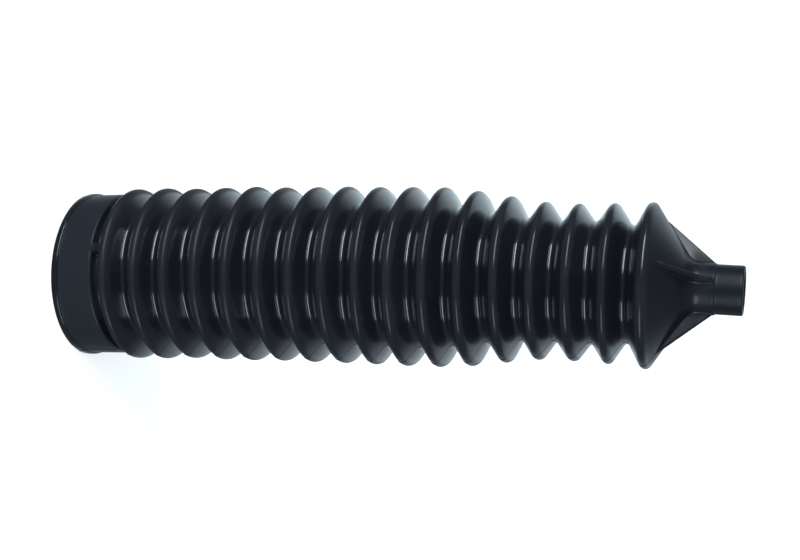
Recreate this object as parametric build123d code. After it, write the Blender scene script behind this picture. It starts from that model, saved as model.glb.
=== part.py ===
"""Rubber bellows boot, moulded in one piece.

The boot's axis is Z. Its large mouth lies on z = 0, centred on the origin, and its nozzle points up.
A cuff with a raised lip takes the first clamp, the convolutions follow, and a ribbed cone closes down to
a nozzle that takes the second clamp. All sizes are in millimetres, and every radius is from the axis.

The section is drawn as a belt over rollers. A crest is a roller that the belt passes outside, a root is
one that it passes inside, and the straight flanks are the runs between them. The inner face runs over
the same rollers, less the wall, so the wall has one thickness along all the folds.
"""

from build123d import *
import os
from itertools import pairwise
from math import acos, degrees

# Cuff at the large mouth
CUFF_BORE_R = 25.5      # grips the housing collar
CUFF_BORE_DEPTH = 12.2  # mouth to the end of the plain bore
CUFF_WALL = 2.3
CUFF_LENGTH = 14.4      # mouth to the end of the clamp band
CUFF_LEAD_IN = 0.8      # chamfer at the mouth of the bore
LIP_RISE = 0.6          # the lip stands this proud of the band and keeps the clamp on
LIP_WIDTH = 2.2
LIP_EDGE = 0.5          # rounding of the lip's outer edges
BAND_EDGE = 0.8         # rounding where the band drops into the groove

# Groove between the cuff and the first convolution, bridged by two keys
GROOVE_WIDTH = 4.8      # end of the band to the first crest
GROOVE_DEPTH = 5.7      # below the first crest
GROOVE_DRAFT = 1.0      # end of the band to the middle of the groove's root
KEY_WIDTH = 3.0
KEY_ANGLES = (90, 270)  # degrees about the axis, from +X

# Convolutions
CONVOLUTIONS = 17
PITCH = 11.0            # crest to crest
END_PITCH = 11.8        # last two crests
LARGE_CREST_R = 29.5
SMALL_CREST_R = 25.3
END_CREST_R = 26.2      # last crest, at the cone
LARGE_CRESTS = 11       # crests at the large radius
TAPER_LENGTH = 36.5     # along the axis, from the large crests down to the small ones
FOLD_DEPTH = 5.55       # crest to root, outside
END_FOLD_DEPTH = 6.7    # before the last crest
CREST_TIP = 1.6         # rounding of a crest, outside
END_CREST_TIP = 1.6
ROOT_TIP = 1.3          # rounding of a root, outside
WALL = 1.4              # folds and cone

# Cone, ribs and nozzle
NECK_RUN = 15.6         # last crest to the neck, where the cone has become straight
NECK_HOLLOW = 5.5       # rounding between cone and neck
SEAT_RUN = 4.7          # neck to the nozzle's clamp seat
SEAT_STEP = 0.3         # the neck stands this proud of the clamp seat
SEAT_LENGTH = 8.5       # clamp seat, up to the nozzle's tip
NOZZLE_BORE_R = 6.0     # grips the rod
NOZZLE_WALL = 1.8
TIP_EDGE = 0.6          # rounding of the nozzle's tip
NOZZLE_LEAD_IN = 0.4    # chamfer at the mouth of the nozzle's bore
RIB_ANGLES = (0, 90, 180, 270)
RIB_THICKNESS = 1.5
RIB_EDGE = 0.4          # rounding along a rib's free edge
RIB_START_R = 22.9      # where a rib leaves the last convolution
RIB_START_RUN = 2.6     # last crest to that place

# Radii and stations along the axis that follow from the sizes above
BAND_R = CUFF_BORE_R + CUFF_WALL
LIP_R = BAND_R + LIP_RISE
GROOVE_R = LARGE_CREST_R - GROOVE_DEPTH
NOZZLE_R = NOZZLE_BORE_R + NOZZLE_WALL
NECK_R = NOZZLE_R + SEAT_STEP
GROOVE_Z = CUFF_LENGTH + GROOVE_DRAFT
FIRST_CREST_Z = CUFF_LENGTH + GROOVE_WIDTH
LAST_CREST_Z = FIRST_CREST_Z + (CONVOLUTIONS - 2) * PITCH + END_PITCH
NECK_Z = LAST_CREST_Z + NECK_RUN
SEAT_Z = NECK_Z + SEAT_RUN
TIP_Z = SEAT_Z + SEAT_LENGTH


def roller(radius, z, tip):
    """A roller whose far side is at this radius: tip is its own radius, negative at a root."""
    return Vector(radius - tip, z), tip


def corner(radius, z):
    """A sharp corner, which is a roller of no size."""
    return roller(radius, z, 0.0)


def belt(rollers):
    """The edges of a belt over these rollers, from the first to the last."""
    edges = []
    arrived = None
    for (start, start_tip), (end, end_tip) in pairwise(rollers):
        across = end - start
        lean = degrees(acos((start_tip - end_tip) / across.length))
        normal = across.normalized().rotate(Axis.Z, -lean)
        leaves = start + normal * start_tip
        if arrived is not None and start_tip:
            point, last_normal = arrived
            middle = start + (last_normal + normal).normalized() * start_tip
            edges.append(ThreePointArc(point, middle, leaves))
        arrived = (end + normal * end_tip, normal)
        edges.append(Line(leaves, arrived[0]))
    return edges


def turned(rollers):
    """The solid turned from a belt that starts and ends on the axis."""
    (first, _), (last, _) = rollers[0], rollers[-1]
    section = make_face(belt(rollers) + [Line(last, first)])
    return revolve(Plane.XZ * section, Axis.Z)


def crest_radius(index):
    """A crest's radius, counted from the cuff: large, an eased taper, small, and a larger last one."""
    if index == CONVOLUTIONS - 1:
        return END_CREST_R
    past = (index - LARGE_CRESTS + 1) * PITCH / TAPER_LENGTH
    share = min(max(past, 0.0), 1.0)
    eased = share * share * (3 - 2 * share)
    return LARGE_CREST_R + (SMALL_CREST_R - LARGE_CREST_R) * eased


def folds():
    """The rollers of the groove, of every crest and of the roots between them, outside."""
    rollers = [roller(GROOVE_R, GROOVE_Z, -ROOT_TIP)]
    for index in range(CONVOLUTIONS - 1):
        z = FIRST_CREST_Z + index * PITCH
        before_end = index == CONVOLUTIONS - 2
        depth, next_z = (END_FOLD_DEPTH, LAST_CREST_Z) if before_end else (FOLD_DEPTH, z + PITCH)
        root_radius = min(crest_radius(index), crest_radius(index + 1)) - depth
        rollers.append(roller(crest_radius(index), z, CREST_TIP))
        rollers.append(roller(root_radius, (z + next_z) / 2, -ROOT_TIP))
    return rollers + [roller(END_CREST_R, LAST_CREST_Z, END_CREST_TIP)]


def under(rollers):
    """The same rollers for the inner face, a wall's thickness nearer the axis."""
    return [(centre, max(tip - WALL, 0.0) if tip > 0 else tip - WALL) for centre, tip in rollers]


def body():
    """The boot's outer form, solid."""
    return turned([
        corner(0, 0),
        roller(LIP_R, LIP_EDGE, LIP_EDGE),
        roller(LIP_R, LIP_WIDTH - LIP_EDGE, LIP_EDGE),
        corner(BAND_R, LIP_WIDTH),
        roller(BAND_R, CUFF_LENGTH - BAND_EDGE, BAND_EDGE),
        *folds(),
        roller(NECK_R, NECK_Z, -NECK_HOLLOW),
        corner(NECK_R, SEAT_Z - SEAT_STEP),
        corner(NOZZLE_R, SEAT_Z),
        roller(NOZZLE_R, TIP_Z - TIP_EDGE, TIP_EDGE),
        corner(0, TIP_Z),
    ])


def core():
    """The boot's hollow, from mouth to mouth."""
    neck_wall = NECK_R - NOZZLE_BORE_R
    return turned([
        corner(0, 0),
        corner(CUFF_BORE_R + CUFF_LEAD_IN, 0),
        corner(CUFF_BORE_R, CUFF_LEAD_IN),
        corner(CUFF_BORE_R, CUFF_BORE_DEPTH),
        *under(folds()),
        roller(NOZZLE_BORE_R, NECK_Z, -NECK_HOLLOW - neck_wall),
        corner(NOZZLE_BORE_R, TIP_Z - NOZZLE_LEAD_IN),
        corner(NOZZLE_BORE_R + NOZZLE_LEAD_IN, TIP_Z),
        corner(0, TIP_Z),
    ])


def rib():
    """One gusset between the last convolution and the clamp seat, in the plane of X and Z."""
    start_z = LAST_CREST_Z + RIB_START_RUN
    outline = Polyline(
        (RIB_START_R, start_z),
        (NOZZLE_R, SEAT_Z),
        (NOZZLE_BORE_R, SEAT_Z),
        (NOZZLE_BORE_R, start_z),
        close=True,
    )
    plate = extrude(Plane.XZ * make_face(outline), RIB_THICKNESS / 2, both=True)
    slope = plate.faces().sort_by(Axis.X)[-1]
    return fillet(slope.edges().sort_by(SortBy.LENGTH)[-2:], RIB_EDGE)


def key():
    """One key across the groove, flush with the clamp band, centred on the X axis."""
    low, high = CUFF_LENGTH - BAND_EDGE, FIRST_CREST_Z
    outline = Polyline((BAND_R, low), (BAND_R, high), (GROOVE_R, high), (GROOVE_R, low), close=True)
    spread = degrees(KEY_WIDTH / BAND_R)
    sector = revolve(Plane.XZ * make_face(outline), Axis.Z, revolution_arc=spread)
    return Rot(Z=-spread / 2) * sector


def bellows_boot():
    """The whole moulding."""
    ribs = [Rot(Z=angle) * rib() for angle in RIB_ANGLES]
    keys = [Rot(Z=angle) * key() for angle in KEY_ANGLES]
    return body() + ribs + keys - core()


os.makedirs("parts", exist_ok=True)
export_step(bellows_boot(), "parts/bellows_boot.step")
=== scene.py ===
"""Rubber bellows boot: the finished look of the moulding.

The boot is one moulding, so one closed skin stands for it here. The skin follows the part's own section
and adds what the tool and the rubber leave on it: the parting line, rounded edges on the ribs and keys,
folds that wander a little, and a slight sag along the length. Lengths are worked out in millimetres and
put into the mesh in metres.
"""

from math import cos, pi, radians, sin

import bpy
import numpy as np
from mathutils import Matrix, Vector

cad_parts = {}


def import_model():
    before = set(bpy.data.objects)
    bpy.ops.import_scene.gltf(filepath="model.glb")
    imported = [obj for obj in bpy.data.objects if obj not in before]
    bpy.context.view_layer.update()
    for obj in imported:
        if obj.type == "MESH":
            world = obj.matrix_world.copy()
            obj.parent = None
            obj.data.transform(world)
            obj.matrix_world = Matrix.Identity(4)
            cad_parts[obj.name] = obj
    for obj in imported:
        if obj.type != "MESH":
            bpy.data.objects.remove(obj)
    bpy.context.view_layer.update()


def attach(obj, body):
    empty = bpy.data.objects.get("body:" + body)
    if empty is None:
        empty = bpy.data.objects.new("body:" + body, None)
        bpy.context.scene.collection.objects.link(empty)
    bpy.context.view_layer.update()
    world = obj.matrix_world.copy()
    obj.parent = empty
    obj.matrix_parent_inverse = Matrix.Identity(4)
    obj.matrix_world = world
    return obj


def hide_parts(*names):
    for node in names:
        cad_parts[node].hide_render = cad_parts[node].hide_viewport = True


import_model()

MM = 0.001

# Section of the boot, from the mouth at z = 0 to the nozzle's tip
BORE_R, BORE_DEPTH, CUFF_WALL, CUFF_LENGTH, LEAD_IN = 25.5, 12.2, 2.3, 14.4, 0.8
LIP_RISE, LIP_WIDTH, LIP_EDGE, BAND_EDGE = 0.6, 2.2, 0.5, 0.8
GROOVE_WIDTH, GROOVE_DEPTH, GROOVE_DRAFT = 4.8, 5.7, 1.0
KEY_WIDTH, KEY_ROUND, KEY_FILLET = 3.0, 0.4, 0.5
CONVOLUTIONS, PITCH, END_PITCH, LARGE_CRESTS, TAPER = 17, 11.0, 11.8, 11, 36.5
LARGE_R, SMALL_R, END_R = 29.5, 25.3, 26.2
FOLD_DEPTH, END_FOLD_DEPTH, CREST_TIP, END_CREST_TIP, ROOT_TIP, WALL = 5.55, 6.7, 1.6, 1.6, 1.3, 1.4
NECK_RUN, NECK_HOLLOW, SEAT_RUN, SEAT_STEP, SEAT_LENGTH = 15.6, 5.5, 4.7, 0.3, 8.5
NOZZLE_BORE_R, NOZZLE_WALL, TIP_EDGE, NOZZLE_LEAD_IN = 6.0, 1.8, 0.6, 0.4
RIB_THICKNESS, RIB_ROUND, RIB_FILLET, RIB_START_R, RIB_START_RUN = 1.5, 0.4, 0.7, 22.9, 2.6
EDGE = 0.15                 # softened edge where the section has a sharp corner

BAND_R = BORE_R + CUFF_WALL
LIP_R = BAND_R + LIP_RISE
NOZZLE_R = NOZZLE_BORE_R + NOZZLE_WALL
NECK_R = NOZZLE_R + SEAT_STEP
GROOVE_R = LARGE_R - GROOVE_DEPTH
GROOVE_Z = CUFF_LENGTH + GROOVE_DRAFT
FIRST_CREST_Z = CUFF_LENGTH + GROOVE_WIDTH
LAST_CREST_Z = FIRST_CREST_Z + (CONVOLUTIONS - 2) * PITCH + END_PITCH
NECK_Z = LAST_CREST_Z + NECK_RUN
SEAT_Z = NECK_Z + SEAT_RUN
TIP_Z = SEAT_Z + SEAT_LENGTH

# What moulding and age add
FLASH_RISE, FLASH_HALF = 0.12, 0.10     # parting line, left and right of the ribs' plane through X
MISMATCH = 0.08                         # one mould half stands this proud of the other at the parting line
SAG = 0.957             # the ends hang this far below the straight axis, and the middle stands above it
SAG_TOWARDS = radians(18.5)             # about the axis, from +X
STEP_FADE, WANDER_FADE = 9, 8           # how far from the parting line, or from the folds' ends, they take
LEVEL = 14                              # the sag tilts no cross-section at the mouth, and all from here on

# Colours of the rubber: the folds' valleys, and their crests made lighter as painted light, each plain and
# bloomed, and the two clamped ends
CLEAN, CLEAN_BLOOM = (0.0046, 0.0050, 0.0075, 1), (0.0062, 0.0066, 0.0098, 1)
LIT_CREST, LIT_CREST_BLOOM = (0.0095, 0.0097, 0.0130, 1), (0.0125, 0.0128, 0.0160, 1)
CUFF_BLACK, NOZZLE_BLACK = (0.0112, 0.0138, 0.0172, 1), (0.0058, 0.0075, 0.0100, 1)

# Its roughness where it is glossy, and what the dull ends, the cone and the first folds' worn crests add
GLOSSY, DULL, SATIN, WORN = 0.21, 0.18, 0.19, 0.26
WORN_FROM, WORN_TO = 30, 130            # along the axis, where that wear fades
CREST_WEAR = 0.92                       # how much of the coat is gone on a crest
CONE_COAT = 0.25

# Stage
PALE, WHITE = (0.62, 0.62, 0.62, 1), (1, 1, 1, 1)
FLOOR_GLOW = 0.5
FRONT, SOFT = 0.13, 1.0                 # backdrop in front of the boot in reflections, and to diffuse rays
BACK, BACK_RISE = 0.46, 0.37            # backdrop behind it, and what its upper half adds
COOL, COOL_LAMP = (0.84, 1.0, 1.10, 1), (0.90, 1.0, 1.08)
LAMPS_AIM = 0.11                        # height in metres that the lamps face


# ---- section ----

def roller(radius, z, tip):
    """A roller of radius tip whose far side is at this radius; tip is negative where the belt hollows."""
    return radius - tip, z, tip


def crest_radius(index):
    """Large crests, an eased fall to the small ones, and a larger last crest."""
    if index == CONVOLUTIONS - 1:
        return END_R
    share = min(max((index - LARGE_CRESTS + 1) * PITCH / TAPER, 0.0), 1.0)
    return LARGE_R + (SMALL_R - LARGE_R) * share * share * (3 - 2 * share)


def folds():
    """Rollers of the groove, of every crest and of the roots between them."""
    rollers = [roller(GROOVE_R, GROOVE_Z, -ROOT_TIP)]
    for index in range(CONVOLUTIONS - 1):
        z = FIRST_CREST_Z + index * PITCH
        last = index == CONVOLUTIONS - 2
        depth, ahead = (END_FOLD_DEPTH, LAST_CREST_Z) if last else (FOLD_DEPTH, z + PITCH)
        root = min(crest_radius(index), crest_radius(index + 1)) - depth
        rollers += [roller(crest_radius(index), z, CREST_TIP), roller(root, (z + ahead) / 2, -ROOT_TIP)]
    return rollers + [roller(END_R, LAST_CREST_Z, END_CREST_TIP)]


def outside():
    """The belt's rollers on the outer face, from the mouth's chamfer to the nozzle's chamfer."""
    return [
        roller(BORE_R + LEAD_IN, 0, 0), roller(LIP_R, LIP_EDGE, LIP_EDGE),
        roller(LIP_R, LIP_WIDTH - LIP_EDGE, LIP_EDGE), roller(BAND_R, LIP_WIDTH + EDGE, -EDGE),
        roller(BAND_R, CUFF_LENGTH - BAND_EDGE, BAND_EDGE), *folds(),
        roller(NECK_R, NECK_Z, -NECK_HOLLOW), roller(NECK_R, SEAT_Z - SEAT_STEP, EDGE),
        roller(NOZZLE_R, SEAT_Z + EDGE, -EDGE), roller(NOZZLE_R, TIP_Z - TIP_EDGE, TIP_EDGE),
        roller(NOZZLE_BORE_R + NOZZLE_LEAD_IN, TIP_Z, 0),
    ]


def inside():
    """The same rollers a wall's thickness nearer the axis, from the nozzle back to the mouth."""
    deeper = [(c, z, max(tip - WALL, 0.0) if tip > 0 else tip - WALL) for c, z, tip in folds()]
    neck = NECK_R - NOZZLE_BORE_R
    return [
        roller(BORE_R + LEAD_IN, 0, 0), roller(BORE_R, LEAD_IN, 0), roller(BORE_R, BORE_DEPTH, EDGE),
        *deeper, roller(NOZZLE_BORE_R, NECK_Z, -NECK_HOLLOW - neck),
        roller(NOZZLE_BORE_R, TIP_Z - NOZZLE_LEAD_IN, 0), roller(NOZZLE_BORE_R + NOZZLE_LEAD_IN, TIP_Z, 0),
    ]


def belt(rollers, spacing, cone_spacing, arc_rows):
    """Points (radius, z) of a belt over rollers: straight runs that touch two rollers, and arcs on them.

    The run's normal is the line of centres turned by the arc cosine of the difference of the two tips
    over their distance. Each arc has arc_rows steps, and each run is divided to the given spacing, which
    is closer past the last crest, where the ribs rise and end.
    """
    rollers = np.array(rollers, float)
    centre, tip = rollers[:, :2], rollers[:, 2]
    across = np.diff(centre, axis=0)
    length = np.hypot(*across.T)
    lean = np.arctan2(across[:, 1], across[:, 0]) - np.arccos((tip[:-1] - tip[1:]) / length)
    points = [centre[0]]
    for k in range(1, len(rollers)):
        normal = np.array([cos(lean[k - 1]), sin(lean[k - 1])])
        arrive = centre[k] + normal * tip[k]
        apart = cone_spacing if arrive[1] > LAST_CREST_Z + 2 else spacing
        steps = max(1, round(np.hypot(*(arrive - points[-1])) / apart))
        points += [points[-1] + (arrive - points[-1]) * s / steps for s in range(1, steps + 1)]
        if tip[k] and k < len(rollers) - 1:
            turn = (lean[k] - lean[k - 1] + pi) % (2 * pi) - pi
            rows = arc_rows if abs(tip[k]) > 0.3 else 2
            angles = lean[k - 1] + turn * np.arange(1, rows + 1) / rows
            points += list(centre[k] + tip[k] * np.stack([np.cos(angles), np.sin(angles)], 1))
    return np.array(points)


# ---- skin ----

# Across a rib, key or parting line, half of the columns: the place from its middle where it doesn't stand
# out, and what becomes of the column where it does: on the top, round its edge, or in the foot's fillet.
HALF = np.array([0, 0.12, 0.25, 0.4, 0.6, 0.8, 1.0, 1.2, 1.45])
QUARTER_FILL = 30                       # columns between two planes
OUTER_ROWS, INNER_ROWS = (1.9, 0.95, 6), (4.5, 2.6, 3)      # spacing, spacing on the cone, steps in an arc


def cross_pattern(height, half, round_, fillet):
    """Half of a rib's cross-section for each row: distances from its middle and heights over the base.

    The top is flat to half - round_, an edge arc of radius round_ follows, then the wall and a foot fillet.
    Both radii shrink with the rib's height, and where it ends the columns slide to their places at rest.
    """
    share = np.clip(height / (round_ + fillet), 0, 1)[:, None]
    edge, foot, tall = round_ * share, fillet * share, height[:, None]
    arc = np.radians([30, 60, 90])
    out = np.concatenate([
        0 * share, half - edge, half - edge + edge * np.sin(arc), half + 0 * share,
        half + foot * (1 - np.cos(arc)),
    ], 1)
    up = np.concatenate([
        tall, tall, tall - edge * (1 - np.cos(arc)), foot, foot * (1 - np.sin(arc)),
    ], 1)
    return HALF * (1 - share) + out * share, up


def skin():
    """One closed surface: the outer and inner belts joined in a loop, turned about the axis.

    Rows are the belt's points and columns go round. Four groups of columns lie across the planes of +X,
    +Y, -X and -Y, in millimetres from each plane, so ribs, keys and the parting line keep their widths at
    every radius; the rest divide the quarters between them. Then radius and height are shifted by the
    parting line, the wander of the folds, and the sag, whose cross-sections stay square to the bent axis.
    """
    outer = belt(outside(), *OUTER_ROWS)
    inner = belt(inside(), *INNER_ROWS)[::-1]
    rows = np.concatenate([outer, inner[1:-1]])
    radius, z = rows.T
    is_outer = np.arange(len(rows)) < len(outer)

    # how far a rib or key stands over each row
    start_z = LAST_CREST_Z + RIB_START_RUN
    slope = (z - start_z) / (SEAT_Z - start_z)
    rib_line = RIB_START_R + (NOZZLE_R - RIB_START_R) * slope
    rib = np.where(is_outer & (slope > 0) & (slope < 1), np.clip(rib_line - radius, 0, None), 0.0)
    in_groove = is_outer & (z > CUFF_LENGTH - BAND_EDGE) & (z < FIRST_CREST_Z)
    key = np.where(in_groove, np.clip(BAND_R - radius, 0, None), 0.0)

    # columns of one plane, then of all four
    columns = []
    for plane in range(4):
        across, up = cross_pattern(rib, RIB_THICKNESS / 2, RIB_ROUND, RIB_FILLET)
        if plane % 2:
            key_across, key_up = cross_pattern(key, KEY_WIDTH / 2, KEY_ROUND, KEY_FILLET)
            on_key = (key > 0)[:, None]
            across, up = np.where(on_key, key_across, across), np.where(on_key, key_up, up)
        across = np.concatenate([-across[:, :0:-1], across], 1)
        up = np.concatenate([up[:, :0:-1], up], 1)
        lean = np.arcsin(across / radius[:, None])
        far = radius[:, None] * np.cos(lean) + up
        angle = np.arctan2(across, far)
        reach = np.hypot(across, far)
        fill = np.arange(1, QUARTER_FILL + 1) / (QUARTER_FILL + 1)
        first, last = angle[:, -1:], pi / 2 + angle[:, :1]
        angle = np.concatenate([angle, first + (last - first) * fill], 1) + plane * pi / 2
        reach = np.concatenate([reach, np.repeat(radius[:, None], QUARTER_FILL, 1)], 1)
        columns.append((angle, reach))
    angle = np.concatenate([a for a, _ in columns], 1)
    reach = np.concatenate([r for _, r in columns], 1)
    z = np.repeat(z[:, None], angle.shape[1], 1)
    outer_share = is_outer[:, None].astype(float)

    # parting line: a fine ridge and a small step where the mould halves meet, on the planes of +X and -X
    side = reach * np.sin(angle)
    ridge = np.clip(1 - np.abs(side) / (2 * FLASH_HALF), 0, 1)
    settled = np.clip(np.abs(side) / STEP_FADE, 0, 1)
    step = np.clip(side / FLASH_HALF, -1, 1) * (1 - settled * settled * (3 - 2 * settled)) / 2
    reach = reach + outer_share * (FLASH_RISE * ridge + MISMATCH * step)

    # folds wander: each one leans and breathes a little in its own way
    fold = np.clip((z - CUFF_LENGTH) / WANDER_FADE, 0, 1)
    fold = fold * np.clip((LAST_CREST_Z + 2 - z) / WANDER_FADE, 0, 1)
    turn = (z - FIRST_CREST_Z) / PITCH
    reach = reach + fold * (0.10 * np.sin(2 * angle + 1.7 * turn) + 0.06 * np.sin(3 * angle - 2.3 * turn + 1)
                            + 0.12 * np.sin(2.1 * turn + 0.6))
    z = z + fold * (0.16 * np.sin(angle + 2.7 * turn + 0.4) + 0.07 * np.sin(2 * angle - 1.9 * turn))

    # sag
    x, y = reach * np.cos(angle), reach * np.sin(angle)
    along = (z - TIP_Z / 2) / (TIP_Z / 2)
    below = x * cos(SAG_TOWARDS) + y * sin(SAG_TOWARDS)
    flat = np.clip(z / LEVEL, 0, 1)
    bent_z = z - below * (4 * SAG * along / (TIP_Z / 2)) * flat * flat * (3 - 2 * flat)
    drop = SAG * (2 * along * along - 1)
    return np.stack([x + drop * cos(SAG_TOWARDS), y + drop * sin(SAG_TOWARDS), bent_z], -1) * MM


def closed_mesh(name, points):
    """A mesh of quads from a grid that closes on itself both ways, with its faces pointing outwards."""
    rows, columns = points.shape[:2]
    row, column = np.meshgrid(np.arange(rows), np.arange(columns), indexing="ij")
    down, across = (row + 1) % rows, (column + 1) % columns
    faces = np.stack([
        row * columns + column, row * columns + across, down * columns + across, down * columns + column,
    ], -1).reshape(-1, 4)
    mesh = bpy.data.meshes.new(name)
    mesh.vertices.add(rows * columns)
    mesh.vertices.foreach_set("co", points.astype(np.float32).ravel())
    mesh.loops.add(faces.size)
    mesh.loops.foreach_set("vertex_index", faces.astype(np.int32).ravel())
    mesh.polygons.add(len(faces))
    mesh.polygons.foreach_set("loop_start", np.arange(0, faces.size, 4, dtype=np.int32))
    mesh.update(calc_edges=True)
    mesh.validate()
    mesh.shade_smooth()
    a, b, c, d = (points.reshape(-1, 3)[faces[:, k]] for k in range(4))
    volume = (np.einsum("ij,ij->i", a, np.cross(b, c)) + np.einsum("ij,ij->i", a, np.cross(c, d))).sum() / 6
    print(f"{name}: {2 * len(faces)} triangles, {volume * 1e9:.0f} mm3 enclosed")
    piece = bpy.data.objects.new(name, mesh)
    bpy.context.scene.collection.objects.link(piece)
    return piece


# ---- shader maths ----

class Value:
    """One output of a node. Arithmetic on it adds Math nodes to the same material."""

    def __init__(self, graph, socket):
        self.graph, self.socket = graph, socket

    def __add__(self, other):
        return self.graph.math("ADD", self, other)

    def __radd__(self, other):
        return self.graph.math("ADD", other, self)

    def __sub__(self, other):
        return self.graph.math("SUBTRACT", self, other)

    def __rsub__(self, other):
        return self.graph.math("SUBTRACT", other, self)

    def __mul__(self, other):
        return self.graph.math("MULTIPLY", self, other)

    def __rmul__(self, other):
        return self.graph.math("MULTIPLY", other, self)

    def __truediv__(self, other):
        return self.graph.math("DIVIDE", self, other)

    def __rtruediv__(self, other):
        return self.graph.math("DIVIDE", other, self)

    def __pow__(self, other):
        return self.graph.math("POWER", self, other)


class Graph:
    """The nodes of one material or of the world."""

    def __init__(self, tree):
        self.tree = tree
        tree.nodes.clear()

    def node(self, kind, settings=None, out=0, **values):
        """Adds a node: its settings first, then its sockets by name (spaces as _) or by number as _0."""
        made = self.tree.nodes.new(kind)
        for name, value in (settings or {}).items():
            setattr(made, name, value)
        for name, value in values.items():
            key = int(name[1:]) if name[0] == "_" else name.replace("_", " ")
            if isinstance(value, Value):
                self.tree.links.new(value.socket, made.inputs[key])
            else:
                made.inputs[key].default_value = value
        return Value(self, made.outputs[out]) if made.outputs else None

    def math(self, operation, *values):
        sockets = {f"_{i}": value for i, value in enumerate(values)}
        return self.node("ShaderNodeMath", {"operation": operation}, **sockets)

    def smooth(self, value, low, high):
        """0 at low, 1 at high, eased between."""
        return self.node("ShaderNodeMapRange", {"interpolation_type": "SMOOTHSTEP"}, Value=value,
                         From_Min=low, From_Max=high, To_Min=0.0, To_Max=1.0)

    def noise(self, vector, scale, detail, roughness):
        return self.node("ShaderNodeTexNoise", Vector=vector, Scale=scale, Detail=detail, Roughness=roughness)

    def tint(self, share, first, second):
        """A colour between two others."""
        return self.node("ShaderNodeMix", {"data_type": "RGBA"}, out=2, _0=share, _6=first, _7=second)


def moulded_rubber():
    """Black rubber: glossy in the valleys and on the lip, dull on the crests and given a lighter colour there
    as painted light, satin on the cone.

    The gloss is a clear coat whose weight falls off towards each crest, and the cuff and nozzle have none.
    The first folds' crests are worn roughest.
    """
    material = bpy.data.materials.new("moulded_rubber")
    material.use_nodes = True
    g = Graph(material.node_tree)
    place = g.node("ShaderNodeTexCoord", out="Object")
    x, y, z = (g.node("ShaderNodeSeparateXYZ", out=k, Vector=place) / MM for k in range(3))
    from_axis = (x * x + y * y) ** 0.5
    past_cuff = g.smooth(z, CUFF_LENGTH - 0.5, CUFF_LENGTH + 1.5)
    folded = past_cuff * (1 - g.smooth(z, LAST_CREST_Z - 0.5, LAST_CREST_Z + 2.5))
    wave = g.math("COSINE", (z - FIRST_CREST_Z) * (2 * pi / PITCH))

    mottle = g.noise(place, 60.0, 3.0, 0.55)
    cloud = g.noise(place, 18.0, 2.0, 0.5)
    grain = g.noise(place, 2600.0, 2.0, 0.6)
    scuff = g.noise(place, 420.0, 3.0, 0.6)

    on_crest = folded * g.smooth(wave, 0.55, 0.92)
    past_folds = g.smooth(z, LAST_CREST_Z + 0.5, LAST_CREST_Z + 2.5)
    on_cone = past_folds * (1 - g.smooth(z, NECK_Z - 2, NECK_Z + 2))
    on_lip = 1 - g.smooth(z, LIP_WIDTH - 0.2, LIP_WIDTH + 0.3)
    bloom = g.smooth(mottle, 0.42, 0.72)
    worn = on_crest * (1 - g.smooth(z, WORN_FROM, WORN_TO))
    dull = (1 - folded) * (1 - on_cone) * (1 - on_lip)
    # painted light: the crests take a lighter colour than the valleys, the cone and the lip
    fold = g.tint(on_crest, g.tint(bloom, CLEAN, CLEAN_BLOOM), g.tint(bloom, LIT_CREST, LIT_CREST_BLOOM))
    base = g.tint(dull, fold, g.tint(g.smooth(z, NECK_Z, SEAT_Z), CUFF_BLACK, NOZZLE_BLACK))
    roughness = GLOSSY + DULL * dull + SATIN * on_cone + WORN * worn + 0.06 * (cloud + mottle - 1.0)
    gloss = folded * (1 - on_crest * CREST_WEAR) + CONE_COAT * on_cone + on_lip
    bump = g.node("ShaderNodeBump", Strength=0.45, Distance=0.00012,
                  Height=grain * 0.35 + scuff * 0.5 + mottle * 0.6)
    rubber = g.node("ShaderNodeBsdfPrincipled", Base_Color=base, Roughness=roughness, IOR=1.3, Normal=bump,
                    Coat_Weight=gloss, Coat_Roughness=0.14, Coat_IOR=1.5)
    g.node("ShaderNodeOutputMaterial", Surface=rubber)
    return material


# ---- stage ----

TILT, LEAN, TURN = radians(17.0), radians(1.405), radians(18.5)
SENSOR = 36
LENS = 1368 * SENSOR / 800              # 1368 pixels of a frame 800 wide
MIDDLE = Vector((-1.54, -0.36, 453.4))   # the boot's mid-length from the lens: right, down and ahead


def camera_axes():
    """The boot's axes X, Y, Z as the lens sees them: right, down and ahead."""
    d = Vector((cos(TILT) * cos(LEAN), sin(LEAN), -sin(TILT) * cos(LEAN)))
    up = Vector((0, -1, 0))
    v = (up - d * up.dot(d)).normalized()
    w = d.cross(v)
    return -v * cos(TURN) + w * sin(TURN), -w * cos(TURN) - v * sin(TURN), d


def camera():
    """Seen from beside and a little above, with the frame turned so that the boot lies across it."""
    axes = Matrix(camera_axes()).transposed()
    offset = MIDDLE - axes @ Vector((0, 0, TIP_Z / 2))
    turn = axes.transposed() @ Matrix(((1, 0, 0), (0, -1, 0), (0, 0, -1)))
    data = bpy.data.cameras.new("camera")
    data.lens, data.sensor_width = LENS, SENSOR
    data.clip_start, data.clip_end = 0.01, 100
    made = bpy.data.objects.new("camera", data)
    made.matrix_world = Matrix.Translation(-(axes.transposed() @ offset) * MM) @ turn.to_4x4()
    bpy.context.scene.collection.objects.link(made)
    bpy.context.scene.camera = made


def around(angle, height, distance):
    """A place round the boot: angle from the side that faces the camera towards the frame's top."""
    axes = camera_axes()
    front = Vector((-a.z for a in axes)); front.z = 0; front.normalize()
    top = Vector((-a.y for a in axes)); top.z = 0; top.normalize()
    return (front * cos(radians(angle)) + top * sin(radians(angle))) * distance + Vector((0, 0, height))


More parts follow.
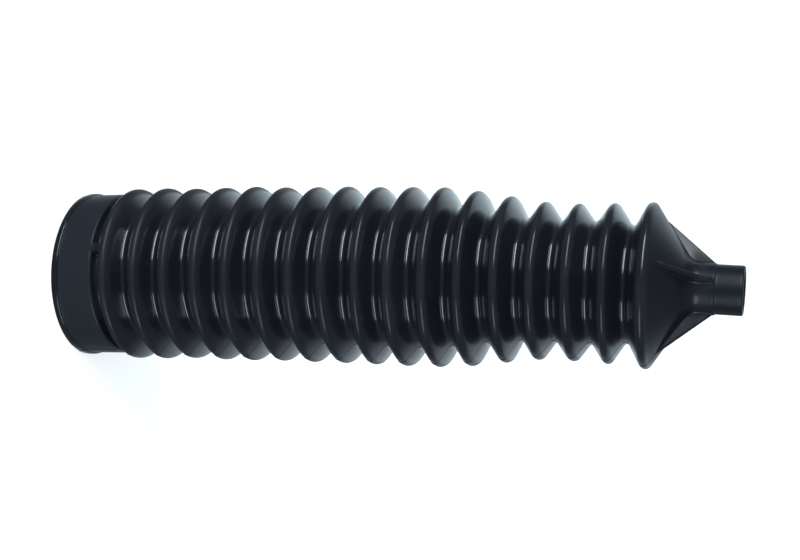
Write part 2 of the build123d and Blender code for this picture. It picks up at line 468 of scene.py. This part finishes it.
def softbox(name, angle, height, distance, width, tall, power):
    """A soft lamp that faces the boot's axis: angle in degrees as in around(), metres, and watts."""
    data = bpy.data.lights.new(name, "AREA")
    data.shape, data.size, data.size_y, data.energy = "RECTANGLE", width, tall, power
    data.color = COOL_LAMP
    lamp = bpy.data.objects.new(name, data)
    place = around(angle, height, distance)
    lamp.location = place
    lamp.rotation_euler = (place - Vector((0, 0, LAMPS_AIM))).to_track_quat("Z", "Y").to_euler()
    bpy.context.scene.collection.objects.link(lamp)


def floor():
    """A plain pale floor: white to the lens, with the boot's shadow on it; reflections see the backdrop."""
    mesh = bpy.data.meshes.new("floor")
    mesh.from_pydata([(-9, -9, 0), (9, -9, 0), (9, 9, 0), (-9, 9, 0)], [], [(0, 1, 2, 3)])
    made = bpy.data.objects.new("floor", mesh)
    bpy.context.scene.collection.objects.link(made)
    material = bpy.data.materials.new("pale_floor")
    material.use_nodes = True
    g = Graph(material.node_tree)
    seen = g.node("ShaderNodeLightPath", out="Is Camera Ray")
    matt = g.node("ShaderNodeBsdfDiffuse", Roughness=1.0, Color=PALE)
    glow = g.node("ShaderNodeEmission", Color=WHITE, Strength=FLOOR_GLOW)
    lit = g.node("ShaderNodeAddShader", _0=matt, _1=glow)
    clear = g.node("ShaderNodeBsdfTransparent")
    g.node("ShaderNodeOutputMaterial", Surface=g.node("ShaderNodeMixShader", _0=seen, _1=clear, _2=lit))
    mesh.materials.append(material)


def world():
    """White to the lens; in reflections bright behind the boot and dark in front of it; even to the rest."""
    made = bpy.data.worlds.new("studio")
    made.use_nodes = True
    bpy.context.scene.world = made
    g = Graph(made.node_tree)
    path = made.node_tree.nodes.new("ShaderNodeLightPath")
    camera_ray, glossy_ray = Value(g, path.outputs["Is Camera Ray"]), Value(g, path.outputs["Is Glossy Ray"])
    way = g.node("ShaderNodeTexCoord", out="Generated")
    behind, above = (g.node("ShaderNodeVectorMath", {"operation": "DOT_PRODUCT"}, out="Value", _0=way,
                            _1=tuple(around(angle, 0, 1))) for angle in (180, 90))
    upper = g.smooth(above, -0.2, 0.2)
    back = g.smooth(behind, 0.48, 0.90) * (BACK + BACK_RISE * upper)
    reflected = glossy_ray * (FRONT + (1 - FRONT) * back) + (1 - glossy_ray) * SOFT
    strength = camera_ray + (1 - camera_ray) * reflected
    tone = g.tint(camera_ray, COOL, WHITE)
    glow = g.node("ShaderNodeBackground", Color=tone, Strength=strength)
    g.node("ShaderNodeOutputWorld", Surface=glow)


boot = closed_mesh("boot_skin", skin())
boot.data.materials.append(moulded_rubber())
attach(boot, "root")
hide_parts("bellows_boot")

floor()
world()
softbox("upper_softbox", 48, 0.62, 1.6, 1.42, 0.5, 25)
softbox("lower_softbox", -52, 0.40, 1.6, 1.10, 0.5, 9)
camera()

scene = bpy.context.scene
scene.view_settings.view_transform = "Standard"
